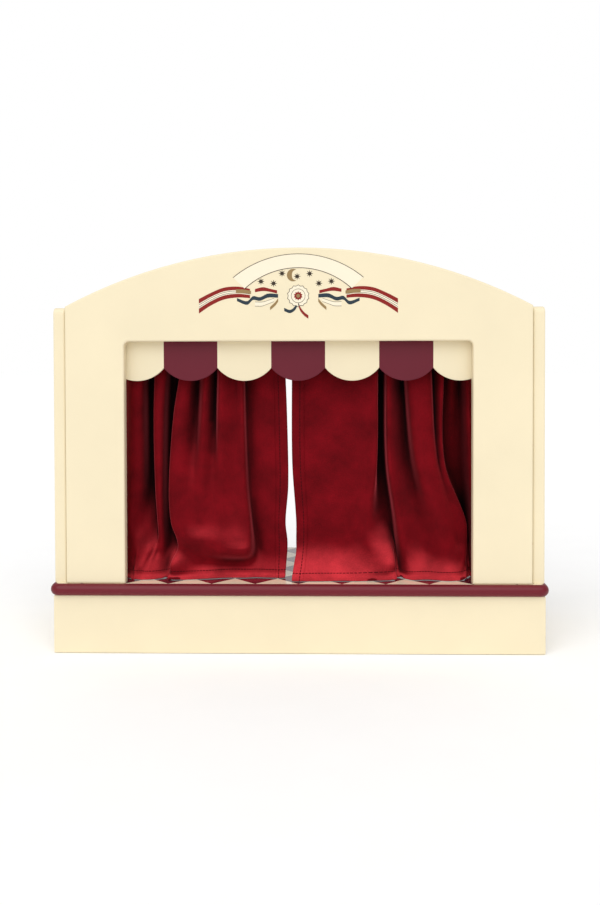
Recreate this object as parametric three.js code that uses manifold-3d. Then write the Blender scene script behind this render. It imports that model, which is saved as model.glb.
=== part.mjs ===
// A tabletop puppet theatre: a painted proscenium on a boxed plinth, open at the back, with two velvet
// curtains gathered on a wooden rod behind a scalloped valance.
// Millimetres, +Z up. The origin is on the table, under the middle of the stage floor; -Y faces the audience.
import * as THREE from "three";
import { mergeVertices } from "three/addons/utils/BufferGeometryUtils.js";
import Module from "manifold-3d";

const wasm = await Module();
wasm.setup();

// ---- Driving dimensions ----

const boardThick = 12; // plinth, side boards and front panel are cut from one board
const edgeRound = 1.6; // rounded edges of the side boards and the front panel
const seat = 0.05; // paint between two boards that meet face to face
const clearWidth = 468.4; // between the side boards; the front panel stands in it
const panelSideGap = 0.8; // shadow gap between the front panel and each side board

const plinthHeight = 58;
const plinthDepth = 170; // front face to back face

const floorThick = 12;
const floorSideNose = 3.8; // stage floor past the side boards
const floorFrontNose = 6; // stage floor past the plinth, front and back
const floorCornerRadius = 10;
const noseFlat = 0.4; // what is left flat between the two rounded edges of the nose

const panelSideHeight = 278;
const panelRise = 58; // arch above the panel's sides
const sideBoardDrop = 1; // side boards stop this much below the panel's shoulders
const sideBoardSetback = 4; // side boards start this much behind the panel's face
const sideBoardCorner = 6;

const openingWidth = 348;
const openingHeight = 243;
const openingRadius = 5;

const valanceThick = 4;
const valanceLap = 16.5; // valance behind the panel, left and right of the opening
const valanceHeadLap = 22; // and above it
const valanceDrop = 40; // lowest point of the scallops below the opening's top edge
const scallopCount = 7;
const scallopDepth = 13;

const rodDiameter = 8;
const rodBehindValance = 18; // valance's back to the rod's axis
const rodBelowOpeningTop = 11;
const rodSocketDepth = 6;
const rodEndGap = 0.5;

const clothThick = 2.4;
const pocketRadius = 7.6; // outside of the sewn channel that the rod runs through
const pocketSlack = 1.4; // between the rod and the inside of the channel
const hemWidth = 9; // stitched band down each curtain's leading edge
const hemGap = 0.3;
const curtainSideGap = 54.2; // curtain to side board, when it is closed
const curtainFloorGap = 0.6;
const leftLeadingEdge = -12.5; // where each curtain's leading edge hangs when it is closed
const rightLeadingEdge = -5.5;
const foldDepth = 11; // each side of the rod's axis
const foldPitch = 30;
const leftFlatWidth = 38; // next to the leading edge, where the cloth hangs without folds
const rightFlatWidth = 82;
const curtainLean = 8; // how far the bottom of the cloth comes forward

const screwDiameter = 4;
const screwHeadDiameter = 8;
const screwHeadHeight = 2.6;
const floorScrewLength = 42;
const blockScrewLength = 38;
const screwsPerSide = 3;
const screwsPerLeg = 2;
const screwEndInset = 28; // first and last screw from the ends of a side board
const legScrewInset = 14; // from either edge of a leg
const screwClearance = 0.3;
const recess = 0.3; // head below the surface

const dowelDiameter = 6;
const dowelLength = 24;
const dowelInSideBoard = 8;
const dowelsPerSide = 3;
const dowelEndInset = 40;
const dowelClearance = 0.2;

const blockSize = 22;
const blockHeight = 30;

const valanceScrewDiameter = 3;
const valanceScrewHead = 6;
const valanceScrewHeadHeight = 1.8;
const valanceScrewLength = 12;
const valanceScrewCount = 4;
const valanceScrewInset = 20; // from the sides of the opening

const holeSides = 10;

// ---- Places that follow from them ----

const outerWidth = clearWidth + 2 * boardThick;
const halfClear = clearWidth / 2;
const frontFace = -plinthDepth / 2; // front of plinth and panel
const backFace = plinthDepth / 2;
const floorBottom = plinthHeight + seat;
const floorTop = floorBottom + floorThick;
const standing = floorTop + seat; // underside of what stands on the stage floor
const panelBack = frontFace + boardThick;
const panelWidth = clearWidth - 2 * panelSideGap;
const legWidth = (panelWidth - openingWidth) / 2;
const openingTop = standing + openingHeight;
const sideBoardHeight = panelSideHeight - sideBoardDrop;
const sideBoardFront = frontFace + sideBoardSetback;
const sideBoardMiddle = halfClear + boardThick / 2;
const valanceFront = panelBack + seat;
const valanceBack = valanceFront + valanceThick;
const valanceScrewZ = openingTop + valanceHeadLap / 2;
const rodY = valanceBack + rodBehindValance;
const rodZ = openingTop - rodBelowOpeningTop;
const channelRadius = rodDiameter / 2 + pocketSlack;
const clothBottom = floorTop + curtainFloorGap;
const leftCurtainEnd = -(halfClear - curtainSideGap);
const rightCurtainEnd = halfClear - curtainSideGap;

// ---- Finishes ----

const finish = (color, roughness, metalness = 0) =>
  new THREE.MeshStandardMaterial({ color, roughness, metalness });
const creamPaint = finish(0xf7ebcd, 0.45);
const burgundyPaint = finish(0x6c2c36, 0.35);
const velvet = finish(0x7d1220, 0.95);
const beech = finish(0xd9b98c, 0.6);
const zincSteel = finish(0xc4c6c8, 0.35, 1);

// ---- Solid helpers ----

// A closed three.js geometry as a manifold-3d solid.
function solidOf(geometry) {
  const bare = geometry.clone();
  bare.deleteAttribute("normal");
  bare.deleteAttribute("uv");
  const merged = mergeVertices(bare, 1e-4);
  return new wasm.Manifold(
    new wasm.Mesh({
      numProp: 3,
      vertProperties: new Float32Array(merged.attributes.position.array),
      triVerts: new Uint32Array(merged.index.array),
    }),
  );
}

// And back again, for a mesh.
function geometryOf(solid) {
  const mesh = solid.getMesh();
  const geometry = new THREE.BufferGeometry();
  geometry.setAttribute("position", new THREE.BufferAttribute(mesh.vertProperties, 3));
  geometry.setIndex(new THREE.BufferAttribute(mesh.triVerts, 1));
  geometry.computeVertexNormals();
  return geometry;
}

// A box from its lowest to its highest corner.
function boxBetween(low, high) {
  const size = high.map((value, axis) => value - low[axis]);
  const middle = high.map((value, axis) => (value + low[axis]) / 2);
  return new THREE.BoxGeometry(...size).translate(...middle);
}

// An outline drawn in X and Y, anticlockwise, given a thickness up from z = 0 and rounded edges.
function plate(outline, thickness, round = 0, segments = 2) {
  return new THREE.ExtrudeGeometry(new THREE.Shape(outline), {
    depth: thickness - 2 * round,
    bevelEnabled: round > 0,
    bevelThickness: round,
    bevelSize: round,
    bevelOffset: -round,
    bevelSegments: segments,
  }).translate(0, 0, round);
}

// The same with the outline in X and Z and the thickness along +Y from y.
const uprightPlate = (outline, y, thickness, round) =>
  plate(outline, thickness, round).rotateX(Math.PI / 2).translate(0, y + thickness, 0);

// A round bar along X between two ends, given in either order.
const bar = (radius, oneEnd, otherEnd, sides = holeSides) =>
  new THREE.CylinderGeometry(radius, radius, Math.abs(otherEnd - oneEnd), sides)
    .rotateZ(Math.PI / 2)
    .translate((oneEnd + otherEnd) / 2, 0, 0);

// Points along an arc in the plane, from one angle to another, both included.
const arc = (x, y, radius, from, to, segments) =>
  spread(segments + 1, from, to)
    .map((angle) => new THREE.Vector2(x + radius * Math.cos(angle), y + radius * Math.sin(angle)));

// Evenly spaced places from one end to the other, both included.
function spread(count, from, to) {
  return Array.from({ length: count }, (_, i) => from + ((to - from) * i) / (count - 1));
}

// A body, itself a geometry or several joined, with every tool cut out of it.
function cut(bodies, tools) {
  const joined = [bodies].flat().map(solidOf).reduce((all, next) => all.add(next));
  return geometryOf(tools.reduce((left, tool) => left.subtract(solidOf(tool)), joined));
}

// ---- Fasteners ----

// A countersunk wood screw with its head's top face at the origin, pointing along +Z.
function countersunkScrew(length, grow = 0) {
  const shank = screwDiameter / 2 + grow;
  const head = screwHeadDiameter / 2 + grow;
  const tip = length + grow;
  const start = grow ? -1 : 0; // a hole's cutter starts outside the board
  const profile = [
    [0, start],
    [head, start],
    [head, grow],
    [shank, screwHeadHeight + grow],
    [shank, tip - screwDiameter],
    [0, tip],
  ];
  const points = profile.map(([radius, z]) => new THREE.Vector2(radius, z));
  return new THREE.LatheGeometry(points, holeSides).rotateX(Math.PI / 2);
}

// A pan-head screw pointing along -Y with the underside of its head at the origin.
function panHeadScrew(grow = 0) {
  const shank = valanceScrewDiameter / 2 + grow;
  const head = valanceScrewHead / 2;
  const profile = [
    [0, -valanceScrewLength - grow],
    [shank, -valanceScrewLength + valanceScrewDiameter],
    [shank, 0.1],
    [head, 0.1],
    [head, valanceScrewHeadHeight * 0.5],
    [head * 0.6, valanceScrewHeadHeight],
    [0, valanceScrewHeadHeight],
  ];
  return new THREE.LatheGeometry(profile.map(([radius, y]) => new THREE.Vector2(radius, y)), holeSides);
}

// The same two screws in place, or with room round them as the cutter for their holes.
const floorScrew = ([x, y], grow) =>
  countersunkScrew(floorScrewLength, grow).translate(x, y, floorBottom + recess);
const blockScrew = ([x, y], grow) =>
  countersunkScrew(blockScrewLength, grow).translate(x, y, plinthHeight - blockHeight + recess);
const valanceScrew = (x, grow) => panHeadScrew(grow).translate(x, valanceBack, valanceScrewZ);

// Where the screws stand that come up through the stage floor, and where dowels and valance screws go.
const sideScrewPlaces = (side) =>
  spread(screwsPerSide, sideBoardFront + screwEndInset, backFace - screwEndInset)
    .map((y) => [side * sideBoardMiddle, y]);
const legScrewPlaces = (side) =>
  spread(screwsPerLeg, openingWidth / 2 + legScrewInset, panelWidth / 2 - legScrewInset)
    .map((x) => [side * x, frontFace + boardThick / 2]);
const blockPlaces = [-1, 1].flatMap((side) =>
  [-1, 1].map((end) => [
    side * (halfClear - seat - blockSize / 2),
    end * (backFace - boardThick - seat - blockSize / 2),
  ]));
const dowelHeights =
  spread(dowelsPerSide, standing + dowelEndInset, standing + sideBoardHeight - dowelEndInset);
const dowelY = frontFace + boardThick / 2 + sideBoardSetback / 2; // the middle of what both boards share

// A dowel that joins a side board to the front panel, or the cutter for its hole.
function dowel(side, z, grow = 0) {
  const outer = halfClear + dowelInSideBoard;
  return bar(dowelDiameter / 2 + grow, side * (outer + grow), side * (outer - dowelLength - grow))
    .translate(0, dowelY, z);
}

const lastValanceScrew = openingWidth / 2 - valanceScrewInset;
const valanceScrewPlaces = spread(valanceScrewCount, -lastValanceScrew, lastValanceScrew);

const theatre = new THREE.Group();

function add(name, geometry, material) {
  const mesh = new THREE.Mesh(geometry, material);
  mesh.name = name;
  theatre.add(mesh);
}

// ---- Plinth: four boards with a beech block in each corner ----

add(
  "plinth_front",
  boxBetween([-outerWidth / 2, frontFace, 0], [outerWidth / 2, frontFace + boardThick, plinthHeight]),
  creamPaint,
);
add(
  "plinth_back",
  boxBetween([-outerWidth / 2, backFace - boardThick, 0], [outerWidth / 2, backFace, plinthHeight]),
  creamPaint,
);
for (const [name, side] of [["plinth_left", -1], ["plinth_right", 1]]) {
  const ends = [side * halfClear, side * (halfClear + boardThick)].sort((a, b) => a - b);
  const fromY = frontFace + boardThick + seat;
  add(name, boxBetween([ends[0], fromY, 0], [ends[1], -fromY, plinthHeight]), creamPaint);
}
blockPlaces.forEach(([x, y], i) => {
  const half = blockSize / 2;
  const block = boxBetween(
    [x - half, y - half, plinthHeight - blockHeight],
    [x + half, y + half, plinthHeight],
  );
  add(`corner_block_${i + 1}`, cut(block, [blockScrew([x, y], screwClearance)]), beech);
  add(`corner_block_screw_${i + 1}`, blockScrew([x, y]), zincSteel);
});

// ---- Stage floor: one board with a full round nose, drilled from below ----

function floorBoard() {
  const halfX = outerWidth / 2 + floorSideNose;
  const halfY = plinthDepth / 2 + floorFrontNose;
  const r = floorCornerRadius;
  const outline = [
    ...arc(halfX - r, -halfY + r, r, -Math.PI / 2, 0, 5),
    ...arc(halfX - r, halfY - r, r, 0, Math.PI / 2, 5),
    ...arc(-halfX + r, halfY - r, r, Math.PI / 2, Math.PI, 5),
    ...arc(-halfX + r, -halfY + r, r, Math.PI, Math.PI * 1.5, 5),
  ];
  return plate(outline, floorThick, (floorThick - noseFlat) / 2, 4).translate(0, 0, floorBottom);
}
const floorHoles = [
  ...[-1, 1].flatMap((side) => [...sideScrewPlaces(side), ...legScrewPlaces(side)])
    .map((place) => floorScrew(place, screwClearance)),
  ...blockPlaces.map((place) => blockScrew(place, screwClearance)),
];
add("stage_floor", cut(floorBoard(), floorHoles), burgundyPaint);

// ---- Side boards ----

for (const [name, side] of [["left", -1], ["right", 1]]) {
  const top = standing + sideBoardHeight;
  const r = sideBoardCorner;
  const profile = [ // drawn in Y and Z
    new THREE.Vector2(sideBoardFront, standing),
    new THREE.Vector2(backFace, standing),
    ...arc(backFace - r, top - r, r, 0, Math.PI / 2, 5),
    ...arc(sideBoardFront + r, top - r, r, Math.PI / 2, Math.PI, 5),
  ];
  const blank = plate(profile, boardThick, edgeRound)
    .applyMatrix4(new THREE.Matrix4().set(0, 0, 1, 0, 1, 0, 0, 0, 0, 1, 0, 0, 0, 0, 0, 1))
    .translate(side > 0 ? halfClear : -halfClear - boardThick, 0, 0);
  const socketStart = side * (halfClear - 1);
  const socket = bar(rodDiameter / 2 + dowelClearance, socketStart, side * (halfClear + rodSocketDepth));
  add(
    `${name}_side_board`,
    cut(blank, [
      socket.translate(0, rodY, rodZ),
      ...dowelHeights.map((z) => dowel(side, z, dowelClearance)),
      ...sideScrewPlaces(side).map((place) => floorScrew(place, screwClearance)),
    ]),
    creamPaint,
  );
  sideScrewPlaces(side).forEach((place, i) =>
    add(`${name}_side_screw_${i + 1}`, floorScrew(place), zincSteel));
  dowelHeights.forEach((z, i) => add(`${name}_dowel_${i + 1}`, dowel(side, z), beech));
}

// ---- Front panel: an arched board with the stage opening cut up from its foot ----

function panelBlank() {
  const half = panelWidth / 2;
  const side = openingWidth / 2;
  const r = openingRadius;
  const shoulder = standing + panelSideHeight;
  const radius = (half * half + panelRise * panelRise) / (2 * panelRise);
  const centre = shoulder + panelRise - radius;
  const angle = Math.asin(half / radius);
  const outline = [
    new THREE.Vector2(-half, standing),
    new THREE.Vector2(-side, standing),
    ...arc(-side + r, openingTop - r, r, Math.PI, Math.PI / 2, 4),
    ...arc(side - r, openingTop - r, r, Math.PI / 2, 0, 4),
    new THREE.Vector2(side, standing),
    new THREE.Vector2(half, standing),
    ...arc(0, centre, radius, Math.PI / 2 - angle, Math.PI / 2 + angle, 28),
  ];
  return uprightPlate(outline, frontFace, boardThick, edgeRound);
}
const panelHoles = [-1, 1].flatMap((side) => [
  ...dowelHeights.map((z) => dowel(side, z, dowelClearance)),
  ...legScrewPlaces(side).map((place) => floorScrew(place, screwClearance)),
]);
const valanceScrewHoles = valanceScrewPlaces.map((x) => valanceScrew(x, screwClearance));
add("front_panel", cut(panelBlank(), [...panelHoles, ...valanceScrewHoles]), creamPaint);
for (const [name, side] of [["left", -1], ["right", 1]])
  legScrewPlaces(side).forEach((place, i) =>
    add(`${name}_leg_screw_${i + 1}`, floorScrew(place), zincSteel));

// ---- Valance: a thin board with a scalloped edge, screwed to the back of the panel ----

function valanceBoard() {
  const width = openingWidth + 2 * valanceLap;
  const pitch = width / scallopCount;
  const radius = (pitch * pitch) / (8 * scallopDepth) + scallopDepth / 2;
  const cusp = openingTop - valanceDrop + scallopDepth;
  const sweep = Math.asin(pitch / 2 / radius);
  const outline = [
    new THREE.Vector2(width / 2, openingTop + valanceHeadLap),
    new THREE.Vector2(-width / 2, openingTop + valanceHeadLap),
  ];
  for (let i = 0; i < scallopCount; i++) {
    const middle = -width / 2 + (i + 0.5) * pitch;
    const centre = cusp - scallopDepth + radius;
    const scallop = arc(middle, centre, radius, -Math.PI / 2 - sweep, -Math.PI / 2 + sweep, 10);
    outline.push(...(i ? scallop.slice(1) : scallop));
  }
  return uprightPlate(outline, valanceFront, valanceThick);
}
add("valance", cut(valanceBoard(), valanceScrewHoles), burgundyPaint);
valanceScrewPlaces.forEach((x, i) => add(`valance_screw_${i + 1}`, valanceScrew(x), zincSteel));

// ---- Curtain rod, held in a blind hole in each side board ----

const rodEnd = halfClear + rodSocketDepth - rodEndGap;
add("curtain_rod", bar(rodDiameter / 2, -rodEnd, rodEnd, 16).translate(0, rodY, rodZ), beech);

// ---- Curtains: a gathered sheet on a sewn channel, and the hemmed leading edge that a hand pulls ----

// How far forward the cloth has come at a height.
function leanAt(z) {
  const down = (rodZ - z) / (rodZ - clothBottom);
  return -curtainLean * Math.max(0, down) ** 2;
}

// A plan outline in X and Y, drawn up from the stage floor and leaned forward towards the bottom.
function hangingSheet(points) {
  const geometry = new THREE.ExtrudeGeometry(new THREE.Shape(points), {
    depth: rodZ - clothBottom,
    steps: 3,
    bevelEnabled: false,
  }).translate(0, 0, clothBottom);
  const place = geometry.attributes.position;
  for (let i = 0; i < place.count; i++) place.setY(i, place.getY(i) + leanAt(place.getZ(i)));
  return geometry;
}

// The gathered sheet's plan: waves that die out towards the leading edge.
function gatheredPlan(outerX, innerX, flatWidth) {
  const span = innerX - outerX;
  const gathered = 1 - flatWidth / Math.abs(span);
  const waves = Math.round((Math.abs(span) * gathered) / foldPitch);
  const shares = [...spread(waves * 6 + 1, 0, gathered), 1];
  const middle = (t) =>
    t >= gathered ? rodY : rodY + foldDepth * Math.sin((t / gathered) * waves * 2 * Math.PI);
  const offset = (side) => shares.map((t) => {
    const step = 1e-4;
    const slope = (middle(Math.min(1, t + step)) - middle(Math.max(0, t - step))) / (2 * step * span);
    const reach = ((side * clothThick) / 2) / Math.hypot(1, slope);
    return new THREE.Vector2(outerX + t * span - reach * slope, middle(t) + reach);
  });
  const loop = [...offset(1), ...offset(-1).reverse()];
  return span > 0 ? loop.reverse() : loop;
}

// The sewn channel round the rod, or the cutter for the space inside it.
const channel = (radius, fromX, toX, sides = 12) => bar(radius, fromX, toX, sides).translate(0, rodY, rodZ);
const channelSpace = channel(channelRadius, -halfClear, halfClear);

for (const [name, outerX, leadingX, flatWidth] of [
  ["left", leftCurtainEnd, leftLeadingEdge, leftFlatWidth],
  ["right", rightCurtainEnd, rightLeadingEdge, rightFlatWidth],
]) {
  const inwards = Math.sign(leadingX - outerX);
  const seamX = leadingX - inwards * hemWidth;
  const clothX = seamX - inwards * hemGap;
  const cloth = hangingSheet(gatheredPlan(outerX, clothX, flatWidth));
  add(
    `${name}_curtain`,
    cut([cloth, channel(pocketRadius, outerX, clothX)], [channelSpace]),
    velvet,
  );
  const [low, high] = [seamX, leadingX].sort((a, b) => a - b);
  const strip = hangingSheet([
    new THREE.Vector2(low, rodY - clothThick / 2),
    new THREE.Vector2(high, rodY - clothThick / 2),
    new THREE.Vector2(high, rodY + clothThick / 2),
    new THREE.Vector2(low, rodY + clothThick / 2),
  ]);
  add(
    `${name}_curtain_leading_edge`,
    cut([strip, channel(pocketRadius, low, high)], [channelSpace]),
    velvet,
  );
}

export default theatre;
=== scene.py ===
import math

import bmesh
import bpy
from mathutils import Matrix, Vector
from mathutils.bvhtree import BVHTree


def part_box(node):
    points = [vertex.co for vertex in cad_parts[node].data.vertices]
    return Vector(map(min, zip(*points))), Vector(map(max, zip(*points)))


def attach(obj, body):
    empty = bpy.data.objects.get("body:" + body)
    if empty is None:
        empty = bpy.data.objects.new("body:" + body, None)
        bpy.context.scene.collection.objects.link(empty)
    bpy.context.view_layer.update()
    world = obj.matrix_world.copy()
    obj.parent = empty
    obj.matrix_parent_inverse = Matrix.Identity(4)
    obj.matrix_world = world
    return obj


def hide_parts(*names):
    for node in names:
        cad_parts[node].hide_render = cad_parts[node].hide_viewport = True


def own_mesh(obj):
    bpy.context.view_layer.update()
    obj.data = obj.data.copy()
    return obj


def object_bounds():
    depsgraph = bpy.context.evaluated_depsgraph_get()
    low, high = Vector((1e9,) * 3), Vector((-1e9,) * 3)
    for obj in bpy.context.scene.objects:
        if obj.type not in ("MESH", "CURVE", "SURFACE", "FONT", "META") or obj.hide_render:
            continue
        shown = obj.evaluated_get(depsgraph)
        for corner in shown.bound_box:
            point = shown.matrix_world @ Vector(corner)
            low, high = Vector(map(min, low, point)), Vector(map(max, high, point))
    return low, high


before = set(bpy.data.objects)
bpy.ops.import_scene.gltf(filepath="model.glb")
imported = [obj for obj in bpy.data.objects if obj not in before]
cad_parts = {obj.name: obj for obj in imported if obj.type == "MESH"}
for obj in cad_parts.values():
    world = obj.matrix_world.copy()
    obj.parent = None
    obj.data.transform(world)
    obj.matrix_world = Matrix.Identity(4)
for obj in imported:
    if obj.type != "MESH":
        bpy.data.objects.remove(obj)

cad_low, cad_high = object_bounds()

# ---- Plinth: four boards and four corner blocks ----
# A low box of 12 mm board that lifts the stage off the table. The boards are butted and glued, with a bare
# beech block glued into each corner, and they are sprayed with cream lacquer.


def linear(hex_colour):
    """An sRGB hex colour as the linear colour a shader takes."""
    values = [int(hex_colour[i : i + 2], 16) / 255 for i in (1, 3, 5)]
    return (*[v / 12.92 if v <= 0.04045 else ((v + 0.055) / 1.055) ** 2.4 for v in values], 1)


def per_metre(millimetres):
    """The scale that gives a pattern features of this size on Object coordinates or a UV map in metres."""
    return 1000 / millimetres


def add_node(material, kind, inputs=(), **settings):
    """Adds a shader node with its settings. An input is a plain value, or a socket that is linked to it."""
    node = material.node_tree.nodes.new(kind)
    for name, value in settings.items():
        setattr(node, name, value)
    for socket, value in dict(inputs).items():
        if isinstance(value, bpy.types.NodeSocket):
            material.node_tree.links.new(value, node.inputs[socket])
        else:
            node.inputs[socket].default_value = value
    return node


def new_material(name, roughness):
    """A material and its Principled node."""
    material = bpy.data.materials.new(name)
    material.use_nodes = True
    surface = material.node_tree.nodes["Principled BSDF"]
    surface.inputs["Roughness"].default_value = roughness
    return material, surface


def sprayed_lacquer(name, colour, roughness, coat):
    """Lacquer sprayed on sanded board: an even coat with a faint orange peel and slightly uneven gloss."""
    material, surface = new_material(name, roughness)
    surface.inputs["Coat Weight"].default_value = coat
    surface.inputs["Coat Roughness"].default_value = 0.12
    surface.inputs["Specular IOR Level"].default_value = 0.25
    place = add_node(material, "ShaderNodeTexCoord").outputs["Object"]
    cloudy = add_node(
        material, "ShaderNodeTexNoise", {"Vector": place, "Scale": per_metre(70), "Detail": 3.0}
    )
    shade = add_node(
        material,
        "ShaderNodeMapRange",
        {
            "Value": cloudy.outputs["Fac"],
            "From Min": 0.3,
            "From Max": 0.7,
            "To Min": 0.975,
            "To Max": 1.015,
        },
    )
    # a colour Mix has its two colours at inputs 6 and 7, and its result at output 2
    tinted = add_node(
        material,
        "ShaderNodeMix",
        {0: 1.0, 6: linear(colour), 7: shade.outputs["Result"]},
        data_type="RGBA",
        blend_type="MULTIPLY",
    )
    material.node_tree.links.new(tinted.outputs[2], surface.inputs["Base Color"])
    gloss = add_node(
        material,
        "ShaderNodeMapRange",
        {"Value": cloudy.outputs["Fac"], "To Min": roughness - 0.05, "To Max": roughness + 0.05},
    )
    material.node_tree.links.new(gloss.outputs["Result"], surface.inputs["Roughness"])
    peel = add_node(
        material, "ShaderNodeTexNoise", {"Vector": place, "Scale": per_metre(1.6), "Detail": 1.0}
    )
    bump = add_node(
        material, "ShaderNodeBump", {"Height": peel.outputs["Fac"], "Strength": 0.12, "Distance": 0.0001}
    )
    material.node_tree.links.new(bump.outputs["Normal"], surface.inputs["Normal"])
    return material


def finish_node(name, material):
    """Gives a CAD node its material."""
    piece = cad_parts[name]
    piece.data.materials.clear()
    piece.data.materials.append(material)
    return piece


# cream satin lacquer: a warm, even cream whose edges catch a soft light
cream_colour = "#E9DCBC"
cream = sprayed_lacquer("cream_satin_lacquer", cream_colour, 0.42, 0.0)
for name in ("plinth_front", "plinth_back", "plinth_left", "plinth_right"):
    plinth_board = finish_node(name, cream)
    joined = plinth_board.modifiers.new("joined", "WELD")
    joined.merge_threshold = 0.00001
    eased = plinth_board.modifiers.new("eased_edges", "BEVEL")
    eased.width = 0.0009
    eased.segments = 3
    eased.limit_method = "ANGLE"


# ---- Stage floor ----
# One 12 mm board that overhangs the plinth by 4 to 6 mm with a full round nose. It is burgundy all over,
# with a harlequin of cream squares masked and sprayed on its top, from the front panel's face back.

panel_low, panel_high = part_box("front_panel")
floor_low, floor_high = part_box("stage_floor")
stage_z = floor_high.z
face_y = panel_low.y


def mesh_object(name, mesh_being_made, materials, smooth_below=32):
    """A finished bmesh as an object, smooth except where its faces meet at more than this many degrees."""
    mesh = bpy.data.meshes.new(name)
    mesh_being_made.to_mesh(mesh)
    mesh_being_made.free()
    for material in materials:
        mesh.materials.append(material)
    mesh.shade_smooth()
    mesh.set_sharp_from_angle(angle=math.radians(smooth_below))
    piece = bpy.data.objects.new(name, mesh)
    bpy.context.scene.collection.objects.link(piece)
    return piece


def box_mesh(low, high):
    """A box between two corners."""
    box = bmesh.new()
    bmesh.ops.create_cube(box, size=1)
    bmesh.ops.scale(box, vec=high - low, verts=box.verts)
    bmesh.ops.translate(box, vec=(low + high) / 2, verts=box.verts)
    return box


def round_edges(board, edges, radius, segments):
    """Rounds some of a board's edges."""
    bmesh.ops.bevel(
        board, geom=list(edges), offset=radius, offset_type="OFFSET", segments=segments,
        profile=0.5, affect="EDGES", material=-1, clamp_overlap=True,
    )


def edge_height(edge):
    """How much one end of an edge is above the other."""
    return abs(edge.verts[0].co.z - edge.verts[1].co.z)


# burgundy lacquer: a dark wine red with a low gloss that draws one soft light line along the nose
burgundy_colour = "#6A1422"
burgundy = sprayed_lacquer("burgundy_gloss_lacquer", burgundy_colour, 0.4, 0.06)

# harlequin lacquer: cream diamonds masked over the wine red, glossier than the rest
diamond = 0.0436  # corner to corner
harlequin = sprayed_lacquer("harlequin_lacquer", "#F3E3C6", 0.2, 0.8)
harlequin_surface = harlequin.node_tree.nodes["Principled BSDF"]
cream_link = harlequin_surface.inputs["Base Color"].links[0].from_socket
along = add_node(
    harlequin,
    "ShaderNodeMapping",
    {
        0: add_node(harlequin, "ShaderNodeTexCoord").outputs["Object"],
        "Location": (0, -face_y / (diamond / math.sqrt(2)), 0),
        "Scale": (math.sqrt(2) / diamond,) * 3,
    },
)
turned = add_node(
    harlequin,
    "ShaderNodeVectorRotate",
    {"Vector": along.outputs[0], "Angle": math.radians(45)},
    rotation_type="Z_AXIS",
)
squares = add_node(
    harlequin,
    "ShaderNodeTexChecker",
    {0: turned.outputs[0], "Scale": 1.0, "Color1": (0, 0, 0, 1), "Color2": (1, 1, 1, 1)},
)
two_colours = add_node(
    harlequin,
    "ShaderNodeMix",
    {0: squares.outputs["Fac"], 6: cream_link, 7: linear("#571B28")},
    data_type="RGBA",
)
harlequin.node_tree.links.new(two_colours.outputs[2], harlequin_surface.inputs["Base Color"])

corner_radius = 0.010
nose_radius = 0.0058
board = box_mesh(floor_low, floor_high)
round_edges(board, [e for e in board.edges if edge_height(e) > 0.001], corner_radius, 6)
round_edges(board, [e for e in board.edges if edge_height(e) < 1e-6], nose_radius, 6)
for y in (face_y, -face_y):
    everything = board.verts[:] + board.edges[:] + board.faces[:]
    bmesh.ops.bisect_plane(board, geom=everything, plane_co=(0, y, 0), plane_no=(0, 1, 0))
for face in board.faces:
    middle = face.calc_center_median()
    if face.normal.z > 0.99 and middle.z > stage_z - 1e-5 and abs(middle.y) < -face_y:
        face.material_index = 1
stage = mesh_object("stage_floor_board", board, [burgundy, harlequin])
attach(stage, "theatre")
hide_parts("stage_floor")

# ---- Side boards and front panel ----
# Three more pieces of the same cream board. The panel stands between the side boards, a little proud of
# them, and is dowelled to both; all three are screwed from under the stage floor.

for name in ("left_side_board", "right_side_board", "front_panel"):
    finish_node(name, cream)

# ---- Printed emblem on the arch ----
# Screen-printed in five inks over the cream lacquer: a blank banner over a crescent and stars, a rosette in
# the middle, and ribbon ends to both sides. Where inks lie on each other, the upper one stands proud.

# screen ink: a thin, dull film with crisp edges
ink_colours = ("#33291F", "#EFE4CC", "#861914", "#27353F", "#93794F")
inks = [
    sprayed_lacquer(f"{name}_screen_ink", colour, 0.5, 0.0)
    for name, colour in zip(("dark", "ivory", "red", "slate", "ochre"), ink_colours)
]
dark, ivory, red, slate, ochre = range(5)
ink_thickness = 0.00012
emblem_off_centre = 0.0005
emblem_below_top = 0.0421
emblem_x = 0.5 * (panel_low.x + panel_high.x) + emblem_off_centre
emblem_z = panel_high.z - emblem_below_top
emblem = bmesh.new()


def print_patch(place, columns, inks_by_row, layer=1):
    """Prints a patch of ink. Place turns (along, across), both 0 to 1, into (x, z) on the emblem.

    Inks are given row by row, each with its share of the patch's height.
    """
    cuts = [0.0]
    for ink, share in inks_by_row:
        cuts.append(cuts[-1] + share)
    patch = bmesh.new()
    bmesh.ops.create_grid(patch, x_segments=columns, y_segments=len(inks_by_row), size=0.5)
    for point in patch.verts:
        row = round((point.co.y + 0.5) * len(inks_by_row))
        x, z = place(point.co.x + 0.5, cuts[row] / cuts[-1])
        point.co = (emblem_x + x / 1000, face_y, emblem_z + z / 1000)
    flat_faces = patch.faces[:]
    for number, face in enumerate(flat_faces):
        face.material_index = inks_by_row[number // columns][0]
    walls = bmesh.ops.extrude_face_region(patch, geom=flat_faces)
    points = [item for item in walls["geom"] if isinstance(item, bmesh.types.BMVert)]
    bmesh.ops.translate(patch, vec=(0, -layer * ink_thickness, 0), verts=points)
    bmesh.ops.recalc_face_normals(patch, faces=patch.faces)
    mesh = bpy.data.meshes.new("patch")
    patch.to_mesh(mesh)
    patch.free()
    emblem.from_mesh(mesh)
    bpy.data.meshes.remove(mesh)


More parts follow.
